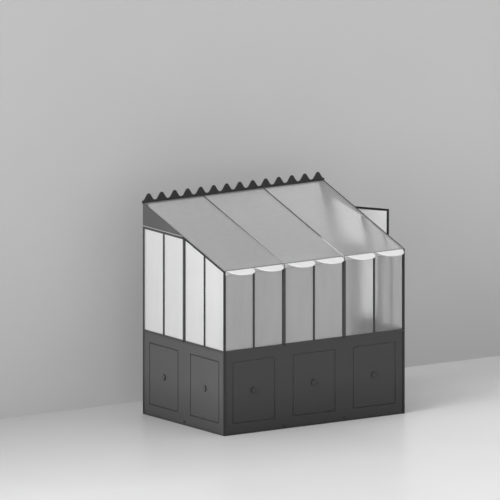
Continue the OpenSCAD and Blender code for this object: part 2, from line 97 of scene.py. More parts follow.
def face_of(node):
    """(outward normal, how far out the main face lies along it) of a flat CAD node."""
    mesh = frame["nodes"][node].data
    areas = {}
    for polygon in mesh.polygons:
        key = tuple(round(v, 2) for v in polygon.normal)
        areas[key] = areas.get(key, 0.0) + polygon.area
    normal = Vector(max(areas, key=areas.get)).normalized()
    middle = sum((v.co for v in mesh.vertices), Vector()) / len(mesh.vertices)
    if normal.dot(middle - room_middle) < 0:
        normal = -normal
    reaches = {}
    for polygon in mesh.polygons:
        if polygon.normal.dot(normal) > SAME_WAY:
            reach = round(polygon.center.dot(normal), 4)
            reaches[reach] = reaches.get(reach, 0.0) + polygon.area
    return normal, max(reaches, key=reaches.get)


glass_nodes = [part["node"] for part in frame["record"]["subparts"]
               if part["material_slot"] == "frosted_glass"]
panel_nodes = [part["node"] for part in frame["record"]["subparts"]
               if part["node"].startswith("base_panel") or part["node"] == "door_panel"]
outward_of = {node: face_of(node) for node in glass_nodes + panel_nodes}
print("the door faces", [round(v, 3) for v in outward_of["door_glass"][0]])

# %% [markdown]
# ## Camera
# An orthographic camera keeps the bars parallel, as on a product drawing. It stands to the
# left of the front and a little above it. Only its direction and the width that it takes in
# matter, so the distance is just large enough to stay clear of the building.

# %% Camera
AZIMUTH = -34.1                        # degrees, from straight ahead towards the left
ELEVATION = 10.81                      # degrees above the horizon
VIEW_WIDTH = 5.0236                    # metres across the whole picture
AIM = Vector((-0.684, -1.294, 1.839))  # the point in the middle of the picture
CAMERA_DISTANCE = 9.0
FAR_CLIP = 60.0

azimuth, elevation = math.radians(AZIMUTH), math.radians(ELEVATION)
towards_camera = Vector((math.sin(azimuth) * math.cos(elevation),
                         -math.cos(azimuth) * math.cos(elevation),
                         math.sin(elevation)))
camera_data = bpy.data.cameras.new("camera")
camera_data.type = "ORTHO"
camera_data.ortho_scale = VIEW_WIDTH
camera_data.clip_end = FAR_CLIP
camera = bpy.data.objects.new("camera", camera_data)
camera.location = AIM + towards_camera * CAMERA_DISTANCE
camera.rotation_mode = "QUATERNION"
camera.rotation_quaternion = towards_camera.to_track_quat("Z", "Y")
bpy.context.scene.collection.objects.link(camera)
bpy.context.scene.camera = camera
print("camera at", [round(v, 2) for v in camera.location])

# %% [markdown]
# ## Shader helpers
# Every finish below is one Principled shader fed by a few procedural nodes. Wiring nodes by
# hand takes many lines, so a helper adds a node, sets its sockets and links it in one call:
# a value that is a socket becomes a link, anything else becomes the socket's own value.

# %% Shader helpers
NOISE_RANGE = (0.3, 0.7)               # where most values of a noise texture lie


def add(tree, kind, inputs=None, **settings):
    """Adds a node, with settings for its options and inputs for its sockets."""
    made = tree.nodes.new(kind)
    for option, value in settings.items():
        setattr(made, option, value)
    for socket, value in (inputs or {}).items():
        if isinstance(value, bpy.types.NodeSocket):
            tree.links.new(value, made.inputs[socket])
        else:
            made.inputs[socket].default_value = value
    return made


def new_finish(name):
    """A material with an empty tree that ends in one Principled shader."""
    material = bpy.data.materials.new(name)
    material.use_nodes = True
    tree = material.node_tree
    tree.nodes.clear()
    shader = add(tree, "ShaderNodeBsdfPrincipled")
    add(tree, "ShaderNodeOutputMaterial", {"Surface": shader.outputs["BSDF"]})
    return material, tree, shader


def show_where(tree, shader, factor):
    """Lets light pass straight through wherever the factor is 0, and shades where it is 1."""
    clear = add(tree, "ShaderNodeBsdfTransparent").outputs["BSDF"]
    mixed = add(tree, "ShaderNodeMixShader", {0: factor, 1: clear, 2: shader.outputs["BSDF"]})
    out = next(node for node in tree.nodes if node.type == "OUTPUT_MATERIAL")
    tree.links.new(mixed.outputs["Shader"], out.inputs["Surface"])


def noise(tree, vector, scale, detail=3.0):
    """Soft random values around a half, a given number of times a metre."""
    made = add(tree, "ShaderNodeTexNoise", {"Vector": vector, "Scale": scale, "Detail": detail})
    return made.outputs["Fac"]


def stretched(tree, vector, scale):
    """The place, scaled apart along each axis, for patterns that run one way."""
    return add(tree, "ShaderNodeMapping", {"Vector": vector, "Scale": scale}).outputs["Vector"]


def remap(tree, value, from_low, from_high, to_low, to_high):
    """Stretches a range of values to another, and holds what lies outside it."""
    made = add(tree, "ShaderNodeMapRange", {"Value": value, "From Min": from_low,
               "From Max": from_high, "To Min": to_low, "To Max": to_high})
    return made.outputs["Result"]


def math_node(tree, operation, *values):
    made = add(tree, "ShaderNodeMath", dict(enumerate(values)), operation=operation)
    return made.outputs["Value"]


def multiply(tree, first, second):
    return math_node(tree, "MULTIPLY", first, second)


def dot(tree, first, second):
    made = add(tree, "ShaderNodeVectorMath", {0: first, 1: second}, operation="DOT_PRODUCT")
    return made.outputs["Value"]


def blend_colours(tree, factor, first, second):
    """Goes from the first colour to the second as the factor goes from 0 to 1."""
    made = add(tree, "ShaderNodeMix", {"Factor": factor}, data_type="RGBA")
    for socket, colour in ((made.inputs[6], first), (made.inputs[7], second)):
        if isinstance(colour, bpy.types.NodeSocket):
            tree.links.new(colour, socket)
        else:
            socket.default_value = colour
    return made.outputs[2]


def grey(value):
    return (value, value, value, 1.0)


def relief(tree, shader, height, depth, strength, normal=None):
    """Bumps the shader's surface by a height map of a given depth in metres."""
    inputs = {"Height": height, "Distance": depth, "Strength": strength}
    if normal is not None:
        inputs["Normal"] = normal
    bump = add(tree, "ShaderNodeBump", inputs)
    tree.links.new(bump.outputs["Normal"], shader.inputs["Normal"])


def own_normal(tree):
    """The outward normal of the solid itself, in its own axes, from whichever side it is hit."""
    geometry = add(tree, "ShaderNodeNewGeometry")
    sign = math_node(tree, "MULTIPLY_ADD", geometry.outputs["Backfacing"], -2.0, 1.0)
    outside = add(tree, "ShaderNodeVectorMath", {0: geometry.outputs["True Normal"],
                  "Scale": sign}, operation="SCALE").outputs["Vector"]
    return add(tree, "ShaderNodeVectorTransform", {"Vector": outside}, vector_type="NORMAL",
               convert_from="WORLD", convert_to="OBJECT").outputs["Vector"]


print("shader helpers ready")

# %% [markdown]
# ## Dark paint
# The steel has a satin powder coat. Up close it has a fine orange peel and it is a little
# worn where edges catch hands and tools. Its colour is made darker towards the ground, in
# specks. The Bevel node rounds the edges in the shading alone and, beside the true
# normal, shows where the edges are, so the wear follows every bar without painting by hand.

# %% Dark paint
FRAME_TONE, CORNER_TONE, DOOR_TONE = 0.040, 0.013, 0.006
BAR_ROUGHNESS, DOOR_ROUGHNESS, SHEET_ROUGHNESS = 0.42, 0.40, 0.46
BAR_PEEL, SHEET_PEEL = 0.35, 0.30      # strength of the orange peel
CLOUD_SCALE, SPECK_SCALE = 2.5, 60.0
CLOUD_SHADES = (0.82, 1.18)            # what the tone is multiplied by in dark and in light patches
CLOUD_SHEEN = (-0.05, 0.07)            # what is added to the roughness there
EDGE_RADIUS = 1.5 * MM
EDGE_TURN = (0.80, 0.99)               # cosine between the rounded and the true normal at an edge
EDGE_WEAR = 0.55                       # the most of an edge that shows as worn
EDGE_SPECKS = (0.40, 0.62, 0.3, 1.0)   # range of the specks, and what they leave of the wear
EDGE_GAIN = 2.2                        # how much lighter a worn edge is
DARKER_LOW_HEIGHT = 0.45                   # how far up the darkening towards the ground reaches
DARKER_LOW_TONE = 0.40                     # what is left of the tone at the ground
DARKER_LOW_SPECKS = (0.35, 0.60, 0.55, 1.0)
PEEL_SCALE = 700.0
PEEL_DEPTH = 0.10 * MM


def dark_paint(name, tone, roughness, peel, change=None):
    """Satin dark paint of a given tone; change may rework its colour before it is used."""
    material, tree, shader = new_finish(name)
    place = add(tree, "ShaderNodeTexCoord").outputs["Object"]
    surface = add(tree, "ShaderNodeNewGeometry").outputs["Normal"]
    clouds = noise(tree, place, CLOUD_SCALE)
    specks = noise(tree, place, SPECK_SCALE, detail=6.0)
    paint = blend_colours(tree, clouds, *(grey(tone * shade) for shade in CLOUD_SHADES))
    if change:
        paint = change(tree, place, paint)

    rounded = add(tree, "ShaderNodeBevel", {"Radius": EDGE_RADIUS}, samples=4).outputs["Normal"]
    edge = remap(tree, dot(tree, rounded, surface), *EDGE_TURN, EDGE_WEAR, 0.0)
    edge = multiply(tree, edge, remap(tree, specks, *EDGE_SPECKS))
    paint = blend_colours(tree, edge, paint, grey(tone * EDGE_GAIN))

    # the paint is made darker towards the ground, in specks
    height = add(tree, "ShaderNodeSeparateXYZ", {"Vector": place}).outputs["Z"]
    darker_low = remap(tree, height, 0.0, DARKER_LOW_HEIGHT, 1.0, 0.0)
    darker_low = multiply(tree, darker_low, remap(tree, specks, *DARKER_LOW_SPECKS))
    paint = blend_colours(tree, darker_low, paint, grey(tone * DARKER_LOW_TONE))
    tree.links.new(paint, shader.inputs["Base Color"])

    rough = remap(tree, clouds, *NOISE_RANGE, *(roughness + extra for extra in CLOUD_SHEEN))
    tree.links.new(rough, shader.inputs["Roughness"])
    relief(tree, shader, noise(tree, place, PEEL_SCALE, detail=1.0), PEEL_DEPTH, peel, rounded)
    return material


frame_paint = dark_paint("frame_paint", FRAME_TONE, BAR_ROUGHNESS, BAR_PEEL)
corner_paint = dark_paint("corner_paint", CORNER_TONE, BAR_ROUGHNESS, BAR_PEEL)
door_paint = dark_paint("door_paint", DOOR_TONE, DOOR_ROUGHNESS, BAR_PEEL)
print("made", frame_paint.name, corner_paint.name, door_paint.name)

# %% [markdown]
# Three kinds of piece have paint that changes over them. Each base panel gets a lighter or
# darker copy of its paint by the side it faces, and a pressed line round its field that is
# lighter at the front and darker on the left, all painted light and shade, and painted shade
# round the rims of its rosettes. The roof bars carry a painted highlight, the left one from
# the eave to near the ridge and the right one only near the eave.
# The rolled hem along the foot of a gable sheet has a painted highlight, a lighter line.

# %% Paint that changes over a piece
ROOF_SLANT = 0.5                       # least upward share of the normal of a roof pane
# painted light and shade: lighter on the lit left side, darker at the front
PANEL_LIT_AND_SHADED_TONES = {"front": 0.038, "left": 0.062, "other": 0.048}
# painted light in the pressed line at the front, painted shade in it on the left
PRESSED_LINE_LIGHT_AND_SHADE_TONES = {"front": 0.070, "left": 0.030, "other": 0.048}
LINE_DEPTH = (3.0 * MM, 1.0 * MM)      # below the panel's face: full tone, and none
RIM_SHADE_TONE = 0.012
RIM_SHADE_HEIGHT = (0.5 * MM, 1.5 * MM)      # above the panel's face: no painted shade, and all of it
RIM_SHADE_TURN = (0.35, 0.75)                # cosine to the panel's face: all of the painted shade, and none
BAR_HIGHLIGHT_TONES = (0.30, 0.48)          # painted highlight at the eave, on the left and on the right bar
LEFT_FADE = (1.0, 0.10)                # shares of the way to the eave, where it is full and gone
RIGHT_FADE = (0.74, 0.69)
GABLE_TONE = 0.068
# painted highlight along the hem
HEM_HIGHLIGHT_TONE = 0.30
HEM_HIGHLIGHT_EDGE = (7 * MM, 9 * MM)            # above the sheet's foot: full tone, and none


def side_of(outward):
    """front, left, roof or other: the side of the building that an outward normal belongs to."""
    if outward.z > ROOF_SLANT:
        return "roof"
    return ("front" if outward.dot(OUT_FRONT) > SAME_WAY else
            "left" if outward.dot(OUT_LEFT) > SAME_WAY else "other")


def pressed_sheet(outward, reach):
    """Painted light and shade in the pressed line, and painted shade round what stands proud of the
    panel's face.
    """
    def change(tree, place, paint):
        depth = dot(tree, place, outward)
        # the pressed line is painted lighter or darker: painted light and shade
        pressed = remap(tree, depth, *(reach - below for below in LINE_DEPTH), 1.0, 0.0)
        paint = blend_colours(tree, pressed, paint, grey(PRESSED_LINE_LIGHT_AND_SHADE_TONES[side_of(outward)]))
        # painted shade on the sides of what stands proud of the panel's face
        proud = remap(tree, depth, *(reach + above for above in RIM_SHADE_HEIGHT), 0.0, 1.0)
        turned = remap(tree, dot(tree, own_normal(tree), outward), *RIM_SHADE_TURN, 1.0, 0.0)
        return blend_colours(tree, multiply(tree, proud, turned), paint, grey(RIM_SHADE_TONE))
    return change


def bars_with_painted_highlight(tree, place, paint):
    """A painted highlight on the left roof bar most of the way down, and on the right one over its last
    part.
    """
    axes = add(tree, "ShaderNodeSeparateXYZ", {"Vector": place}).outputs
    slow = remap(tree, axes["Y"], *(front_y * share for share in LEFT_FADE), 1.0, 0.0)
    quick = remap(tree, axes["Y"], *(front_y * share for share in RIGHT_FADE), 1.0, 0.0)
    on_right = math_node(tree, "GREATER_THAN", axes["X"], 0.0)
    left_bar = blend_colours(tree, slow, paint, grey(BAR_HIGHLIGHT_TONES[0]))
    right_bar = blend_colours(tree, quick, paint, grey(BAR_HIGHLIGHT_TONES[1]))
    return blend_colours(tree, on_right, left_bar, right_bar)


def hem_painted_highlight(tree, place, paint):
    """A painted highlight along the rolled edge at the foot of a gable sheet."""
    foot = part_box("gable_panels")[0].z
    height = add(tree, "ShaderNodeSeparateXYZ", {"Vector": place}).outputs["Z"]
    highlighted = remap(tree, height, *(foot + above for above in HEM_HIGHLIGHT_EDGE), 1.0, 0.0)
    return blend_colours(tree, highlighted, paint, grey(HEM_HIGHLIGHT_TONE))


# each side's panels get a lighter or darker copy of the paint, as painted light and shade
paint_of_plane = {}                    # panels that lie in one plane share a paint
panel_paints = {}
for node in panel_nodes:
    outward, reach = outward_of[node]
    plane = tuple(round(v, 3) for v in (*outward, reach))
    if plane not in paint_of_plane:
        paint_of_plane[plane] = dark_paint(f"panel_paint_{len(paint_of_plane)}",
                                           PANEL_LIT_AND_SHADED_TONES[side_of(outward)], SHEET_ROUGHNESS,
                                           SHEET_PEEL, pressed_sheet(outward, reach))
    panel_paints[node] = paint_of_plane[plane]
rafter_paint = dark_paint("rafter_paint", FRAME_TONE, BAR_ROUGHNESS, BAR_PEEL, bars_with_painted_highlight)
gable_paint = dark_paint("gable_paint", GABLE_TONE, SHEET_ROUGHNESS, SHEET_PEEL, hem_painted_highlight)
print("made", rafter_paint.name, gable_paint.name, "and", len(paint_of_plane), "panel paints")

# %% [markdown]
# ## Frosted glass
# The panes are etched on their outer face: light comes through, but what stands behind is
# only a soft shape. One rough face does that, so the other faces of a pane are left clear.
# A renderer takes frosted glass for a wall when it works out shadows, so there a pane lets
# a good half of the light straight through, which lights the room behind it. Each side's
# panes are painted lighter or darker, as painted light and shade, and let through more or
# less light. Faint runs and a fine grain keep the panes from looking like plastic sheet.

# %% Frosted glass
# each side's tones are painted lighter or darker, as painted light and shade
ETCHINGS_WITH_PAINTED_LIGHT = {"left_glass": ((0.95, 0.99), 0.67), "door_glass": ((0.96, 0.99), 0.60),
            "right_glass": ((0.76, 0.82), 0.92), "front_glass": ((0.84, 0.90), 0.85),
            "roof_glass_left": ((0.85, 0.91), 0.81), "roof_glass_middle": ((0.88, 0.94), 0.78),
            "roof_glass_right": ((0.92, 0.97), 0.74)}
GLASS_ROUGHNESS = (0.30, 0.36)
GLASS_INDEX = 1.5
GLASS_PASS = 0.55                      # the share of the light that is missing from its shadow
OUTER_FACE = 0.9                       # least cosine between the outer face and the outward way
RUN_STRETCH = (6.0, 6.0, 0.7)          # the runs hang down, so they are long along Z
RUN_SCALE = 3.0
RUN_RANGE = (0.35, 0.65)
GRAIN_SCALE = 420.0
GRAIN_DEPTH = 0.15 * MM
GRAIN_STRENGTH = 0.3


def frosted_glass(name, outward, tones, transmission):
    """Etched glass for panes that face a given way, with the tones of its runs."""
    material, tree, shader = new_finish(name)
    place = add(tree, "ShaderNodeTexCoord").outputs["Object"]
    runs = noise(tree, stretched(tree, place, RUN_STRETCH), RUN_SCALE, detail=4.0)
    tone = blend_colours(tree, remap(tree, runs, *RUN_RANGE, 0.0, 1.0), *map(grey, tones))
    tree.links.new(tone, shader.inputs["Base Color"])
    tree.links.new(remap(tree, runs, *NOISE_RANGE, *GLASS_ROUGHNESS), shader.inputs["Roughness"])
    shader.inputs["IOR"].default_value = GLASS_INDEX
    shader.inputs["Transmission Weight"].default_value = transmission
    grain = noise(tree, place, GRAIN_SCALE, detail=2.0)
    relief(tree, shader, grain, GRAIN_DEPTH, GRAIN_STRENGTH)

    outer = math_node(tree, "GREATER_THAN", dot(tree, own_normal(tree), outward), OUTER_FACE)
    lighting = add(tree, "ShaderNodeLightPath").outputs["Is Shadow Ray"]
    held = math_node(tree, "MULTIPLY_ADD", lighting, -GLASS_PASS, 1.0)
    show_where(tree, shader, multiply(tree, outer, held))
    return material


glass_finishes = {node: frosted_glass("etched_" + node, outward_of[node][0], *ETCHINGS_WITH_PAINTED_LIGHT[node])
                  for node in glass_nodes}
print("frosted", len(glass_nodes), "nodes of panes")

# %% [markdown]
# ## White sheet, black iron and rubber
# The tongues are folded from thin sheet with a matt white coat that has greyed a little in
# streaks, and the upright face of their strips is painted greyer, as painted shade. The pull
# handle is forged iron, so its coat lies over a hammered skin. The seals are plain black
# rubber, duller than any paint.

# %% White sheet, black iron and rubber
WHITE_TONES, WHITE_ROUGHNESS = (0.84, 0.78), (0.45, 0.6)
STRIP_FACE_SHADE_TONE = 0.50                 # painted shade on the upright face of a strip
STRIP_FACE_SHADE_TURN = (0.90, 0.99)         # cosine to the front: none of that painted shade, and all of it
STREAK_STRETCH = (9.0, 1.0, 1.0)
STREAK_SCALE = 4.0
STREAK_RANGE = (0.40, 0.70)
IRON_TONES, IRON_ROUGHNESS = (0.018, 0.045), (0.35, 0.55)
BLOW_SCALE = 110.0
BLOW_RANGE = (0.0, 0.8)
BLOW_DEPTH, BLOW_STRENGTH = 0.8 * MM, 0.6
RUBBER_TONES, RUBBER_ROUGHNESS = (0.018, 0.040), (0.65, 0.8)
BLOOM_SCALE = 9.0
BLOOM_RANGE = (0.45, 0.75)
WHITE_SKIN = (600.0, 0.08 * MM)        # scale and depth of the fine relief
RUBBER_SKIN = (900.0, 0.05 * MM)
SKIN_STRENGTH = 0.3


def skin(tree, shader, place, scale, depth):
    """The fine relief of a coat or of moulded rubber."""
    relief(tree, shader, noise(tree, place, scale, detail=1.0), depth, SKIN_STRENGTH)


def white_coat(name):
    material, tree, shader = new_finish(name)
    place = add(tree, "ShaderNodeTexCoord").outputs["Object"]
    streaks = noise(tree, stretched(tree, place, STREAK_STRETCH), STREAK_SCALE, detail=4.0)
    greyed = remap(tree, streaks, *STREAK_RANGE, 0.0, 1.0)
    coat = blend_colours(tree, greyed, *map(grey, WHITE_TONES))
    # the upright face is painted greyer, as painted shade under the tongues
    upright = remap(tree, dot(tree, own_normal(tree), OUT_FRONT), *STRIP_FACE_SHADE_TURN, 0.0, 1.0)
    coat = blend_colours(tree, upright, coat, grey(STRIP_FACE_SHADE_TONE))
    tree.links.new(coat, shader.inputs["Base Color"])
    rough = remap(tree, streaks, *NOISE_RANGE, *WHITE_ROUGHNESS)
    tree.links.new(rough, shader.inputs["Roughness"])
    skin(tree, shader, place, *WHITE_SKIN)
    return material


def hammered_iron(name):
    material, tree, shader = new_finish(name)
    place = add(tree, "ShaderNodeTexCoord").outputs["Object"]
    blows = add(tree, "ShaderNodeTexVoronoi", {"Vector": place, "Scale": BLOW_SCALE},
                feature="SMOOTH_F1").outputs["Distance"]
    tree.links.new(blend_colours(tree, blows, *map(grey, IRON_TONES)), shader.inputs["Base Color"])
    rough = remap(tree, blows, *BLOW_RANGE, *IRON_ROUGHNESS)
    tree.links.new(rough, shader.inputs["Roughness"])
    relief(tree, shader, blows, BLOW_DEPTH, BLOW_STRENGTH)
    return material


def seal_rubber(name):
    material, tree, shader = new_finish(name)
    place = add(tree, "ShaderNodeTexCoord").outputs["Object"]
    bloom = noise(tree, place, BLOOM_SCALE, detail=4.0)
    paled = remap(tree, bloom, *BLOOM_RANGE, 0.0, 1.0)
    tree.links.new(blend_colours(tree, paled, *map(grey, RUBBER_TONES)), shader.inputs["Base Color"])
    rough = remap(tree, bloom, *NOISE_RANGE, *RUBBER_ROUGHNESS)
    tree.links.new(rough, shader.inputs["Roughness"])
    skin(tree, shader, place, *RUBBER_SKIN)
    return material


white = white_coat("white_coat")
iron = hammered_iron("hammered_iron")
rubber = seal_rubber("seal_rubber")
print("made", white.name, iron.name, rubber.name)

# %% Dress the frame
FINISH_OF_SLOT = {"frame_steel": frame_paint, "panel_steel": frame_paint,
                  "white_scallop": white, "handle_iron": iron}
FINISH_OF_NODE = {"corner_post_left": corner_paint, "corner_post_right": corner_paint,
                  "cresting": corner_paint, "rake_rail_left": corner_paint,
                  "rake_rail_right": corner_paint, "door_stiles": door_paint,
                  "door_rails": door_paint, "hinge_frames": door_paint,
                  "hinge_leaves": door_paint, "rafters": rafter_paint,
                  "gable_panels": gable_paint,
                  **{node: panel_paints[node] for node in panel_nodes},
                  **{node: glass_finishes[node] for node in glass_nodes}}
dressed = 0
for part in frame["record"]["subparts"]:
    piece = frame["nodes"][part["node"]]
    if not piece.material_slots:
        piece.data.materials.append(None)
    for slot in piece.material_slots:
        slot.material = FINISH_OF_NODE.get(part["node"]) or FINISH_OF_SLOT[part["material_slot"]]
    dressed += 1
print("dressed", dressed, "nodes")

# %% [markdown]
# ## Pieces that repeat
# Seals and fixings are grown by small Geometry Nodes trees. Each tree takes a bare mesh of
# outlines or points, and its sizes as named inputs, and gives back finished geometry. The
# result is kept as a plain mesh, so nothing is left to work out again later.

# %% Growing a piece from a tree
def new_tree(name, inputs):
    """An empty Geometry Nodes tree with a geometry and the named inputs, and its input node."""
    tree = bpy.data.node_groups.new(name, "GeometryNodeTree")
    tree.interface.new_socket("Geometry", in_out="OUTPUT", socket_type="NodeSocketGeometry")
    tree.interface.new_socket("Geometry", in_out="INPUT", socket_type="NodeSocketGeometry")
    for label, kind in inputs.items():
        tree.interface.new_socket(label, in_out="INPUT", socket_type=kind)
    return tree, add(tree, "NodeGroupInput").outputs


def grow(name, mesh, tree, values, body):
    """Runs a tree on a mesh, keeps the result as a plain mesh and fixes it to a body."""
    source = bpy.data.objects.new(name + "_source", mesh)
    bpy.context.scene.collection.objects.link(source)
    modifier = source.modifiers.new(name, "NODES")
    modifier.node_group = tree
    for item in tree.interface.items_tree:
        if item.in_out == "INPUT" and item.name in values:
            modifier[item.identifier] = values[item.name]
    source.update_tag()
    evaluated = source.evaluated_get(bpy.context.evaluated_depsgraph_get())
    grown = bpy.data.meshes.new_from_object(evaluated)
    grown.name = name
    bpy.data.objects.remove(source)
    bpy.data.meshes.remove(mesh)
    piece = bpy.data.objects.new(name, grown)
    bpy.context.scene.collection.objects.link(piece)
    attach(piece, body)
    return piece


def marked_mesh(name, points, edges, outwards):
    """A bare mesh of points and edges that remembers which way each point faces."""
    mesh = bpy.data.meshes.new(name)
    mesh.from_pydata([Vector(p) for p in points], edges, [])
    facing = mesh.attributes.new("outward", "FLOAT_VECTOR", "POINT")
    facing.data.foreach_set("vector", [v for outward in outwards for v in outward])
    return mesh


print("ready to grow pieces")

# %% [markdown]
# ### Seals
# A rubber bead lies round the outer edge of every upright pane and fills the gap between
# the pane and its bars. Its path is the outline of the pane's outer face, read from the
# model. The roof panes have none, which keeps the roof bars slim and light.

# %% Seals
SEAL_WIDTH = 4.0 * MM
SEAL_CORNER = 5.0 * MM
SEAL_SIDES = 8
CORNER_STEPS = 3
WELD = 0.01 * MM                       # corners of a pane nearer than this are one

seal_tree, seal_in = new_tree("glazing_seal", {"Width": "NodeSocketFloat", "Corner": "NodeSocketFloat",
                                               "Rubber": "NodeSocketMaterial"})
path = add(seal_tree, "GeometryNodeMeshToCurve", {"Mesh": seal_in["Geometry"]}).outputs["Curve"]
path = add(seal_tree, "GeometryNodeFilletCurve", {"Curve": path, "Radius": seal_in["Corner"],
           "Count": CORNER_STEPS, "Limit Radius": True}, mode="POLY").outputs["Curve"]
half_width = add(seal_tree, "ShaderNodeMath", {0: seal_in["Width"], 1: 0.5}, operation="MULTIPLY")
ring = add(seal_tree, "GeometryNodeCurvePrimitiveCircle", {"Resolution": SEAL_SIDES,
           "Radius": half_width.outputs["Value"]}).outputs["Curve"]
bead = add(seal_tree, "GeometryNodeCurveToMesh", {"Curve": path, "Profile Curve": ring})
bead = add(seal_tree, "GeometryNodeSetShadeSmooth", {"Geometry": bead.outputs["Mesh"]})
bead = add(seal_tree, "GeometryNodeSetMaterial", {"Geometry": bead.outputs["Geometry"],
           "Material": seal_in["Rubber"]})
add(seal_tree, "NodeGroupOutput", {"Geometry": bead.outputs["Geometry"]})


def pane_outlines(nodes):
    """The corner points and edges round the outer faces of the panes in some glass nodes."""
    points, edges, outwards = [], [], []
    for node in nodes:
        outward = outward_of[node][0]
        shape = bmesh.new()
        shape.from_mesh(frame["nodes"][node].data)
        bmesh.ops.remove_doubles(shape, verts=shape.verts, dist=WELD)
        outer = {face for face in shape.faces if face.normal.dot(outward) > SAME_WAY}
        rim = [edge for edge in shape.edges if len(outer.intersection(edge.link_faces)) == 1]
        index = {}
        for edge in rim:
            for vertex in edge.verts:
                if vertex not in index:
                    index[vertex] = len(points)
                    points.append(vertex.co.copy())
                    outwards.append(outward)
            edges.append(tuple(index[vertex] for vertex in edge.verts))
        shape.free()
    return points, edges, outwards


for body in ("frame", "door"):
    nodes = [node for node in glass_nodes
             if frame["nodes"][node]["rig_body"] == body and side_of(outward_of[node][0]) != "roof"]
    seal = grow(f"{body}_seals", marked_mesh(f"{body}_outlines", *pane_outlines(nodes)), seal_tree,
                {"Width": SEAL_WIDTH, "Corner": SEAL_CORNER, "Rubber": rubber}, body)
    print(seal.name, "has", len(seal.data.polygons), "faces")

# %% [markdown]
# ### Fixings
# Every fixing is a small turned or hexagonal head. Its spot is found by dropping a point
# onto the model from outside, so each head sits on the surface it holds, and a spot that
# meets no surface is left out. The tree sets one head at each spot, facing outward, with
# its own random turn.

# %% Heads
def head(name, stacks):
    """A head of stacks of rings; a stack is (sides, [(radius, height), ...]) in millimetres."""
    mesh = bpy.data.meshes.new(name)
    points, faces = [], []
    for sides, rings in stacks:
        first = len(points)
        for radius, height in rings:
            points += [(radius * MM * math.cos(math.tau * k / sides),
                        radius * MM * math.sin(math.tau * k / sides), height * MM)
                       for k in range(sides)]
        for ring in range(len(rings) - 1):
            low = first + ring * sides
            faces += [(low + k, low + (k + 1) % sides, low + (k + 1) % sides + sides, low + k + sides)
                      for k in range(sides)]
        top = first + (len(rings) - 1) * sides
        faces.append(tuple(range(first + sides - 1, first - 1, -1)))
        faces.append(tuple(range(top, top + sides)))
    mesh.from_pydata(points, [], faces)
    return bpy.data.objects.new(name, mesh)


HEAD_SIDES, NUT_SIDES = 14, 6
dome = [(4.2, -0.5), (4.2, 0.4), (3.7, 1.2), (2.7, 1.8), (1.2, 2.1)]
washer = [(11.0, -0.5), (11.0, 1.6), (10.4, 2.0)]
nut = [(8.2, 1.9), (8.2, 6.6), (7.6, 7.2)]
cap = [(6.6, 7.1), (6.2, 8.8), (4.6, 10.4), (2.0, 11.2)]
rivet_head = head("rivet_head", [(HEAD_SIDES, dome)])
cap_nut = head("cap_nut", [(2 * HEAD_SIDES, washer), (NUT_SIDES, nut), (HEAD_SIDES, cap)])
anchor = head("anchor", [(2 * HEAD_SIDES, washer), (NUT_SIDES, nut)])

fixing_tree, fixing_in = new_tree("fixings", {"Head": "NodeSocketObject", "Size": "NodeSocketFloat",
                                              "Seed": "NodeSocketInt", "Paint": "NodeSocketMaterial"})
template = add(fixing_tree, "GeometryNodeObjectInfo", {"Object": fixing_in["Head"]}).outputs["Geometry"]
facing = add(fixing_tree, "GeometryNodeInputNamedAttribute", {"Name": "outward"},
             data_type="FLOAT_VECTOR").outputs["Attribute"]
upright = add(fixing_tree, "FunctionNodeAlignRotationToVector", {"Vector": facing}, axis="Z")
turn = add(fixing_tree, "FunctionNodeRandomValue", {"Min": 0.0, "Max": math.tau,
           "Seed": fixing_in["Seed"]}, data_type="FLOAT")
turn_value = next(socket for socket in turn.outputs if socket.enabled)
spin = add(fixing_tree, "ShaderNodeCombineXYZ", {"Z": turn_value}).outputs["Vector"]
spun = add(fixing_tree, "FunctionNodeRotateRotation", {"Rotation": upright.outputs["Rotation"],
           "Rotate By": spin}, rotation_space="LOCAL").outputs["Rotation"]
heads = add(fixing_tree, "GeometryNodeInstanceOnPoints", {"Points": fixing_in["Geometry"],
            "Instance": template, "Rotation": spun, "Scale": fixing_in["Size"]})
heads = add(fixing_tree, "GeometryNodeRealizeInstances", {"Geometry": heads.outputs["Instances"]})
heads = add(fixing_tree, "GeometryNodeSetMaterial", {"Geometry": heads.outputs["Geometry"],
            "Material": fixing_in["Paint"]})
add(fixing_tree, "NodeGroupOutput", {"Geometry": heads.outputs["Geometry"]})
print("made", rivet_head.name, cap_nut.name, anchor.name)

# %% Finding the spots
DROP_FROM = 1.0                        # how far outside a point starts
DROP_DEPTH = 0.06                      # how far off its plane a surface may be found
REACH_SLACK = 1.0 * MM


def surfaces(nodes):
    """One searchable surface made of some CAD nodes."""
    points, faces = [], []
    for node in nodes:
        mesh = frame["nodes"][node].data
        first = len(points)
        points += [v.co.copy() for v in mesh.vertices]
        faces += [tuple(first + i for i in polygon.vertices) for polygon in mesh.polygons]
    return BVHTree.FromPolygons(points, faces)


def drop(surface, points, outward, reach=None):
    """The spots where points meet a surface as they drop against outward, at a reach if given."""
    spots = []
    for point in points:
        start = point + outward * DROP_FROM
        spot, normal, _, _ = surface.ray_cast(start, -outward, DROP_FROM + DROP_DEPTH)
        if spot and normal.dot(outward) > SAME_WAY:
            if reach is None or abs(spot.dot(outward) - reach) < REACH_SLACK:
                spots.append(spot)
    return spots


def between(start, end, pitch):
    """Points spread evenly from start to end, about one pitch apart."""
    steps = max(1, round((end - start).length / pitch))
    return [start.lerp(end, k / steps) for k in range(steps + 1)]


steel = surfaces([node for node in frame["nodes"] if node not in glass_nodes])
print("ready to find spots")

# %% [markdown]
# Rivets hold each pressed panel along its top and bottom edge, the gable sheets along their
# foot, the cresting along its plain band and the eave strips along their lower edge. Cap
# nuts join the rails at each bay line. Anchors hold the sills down, inside the room.

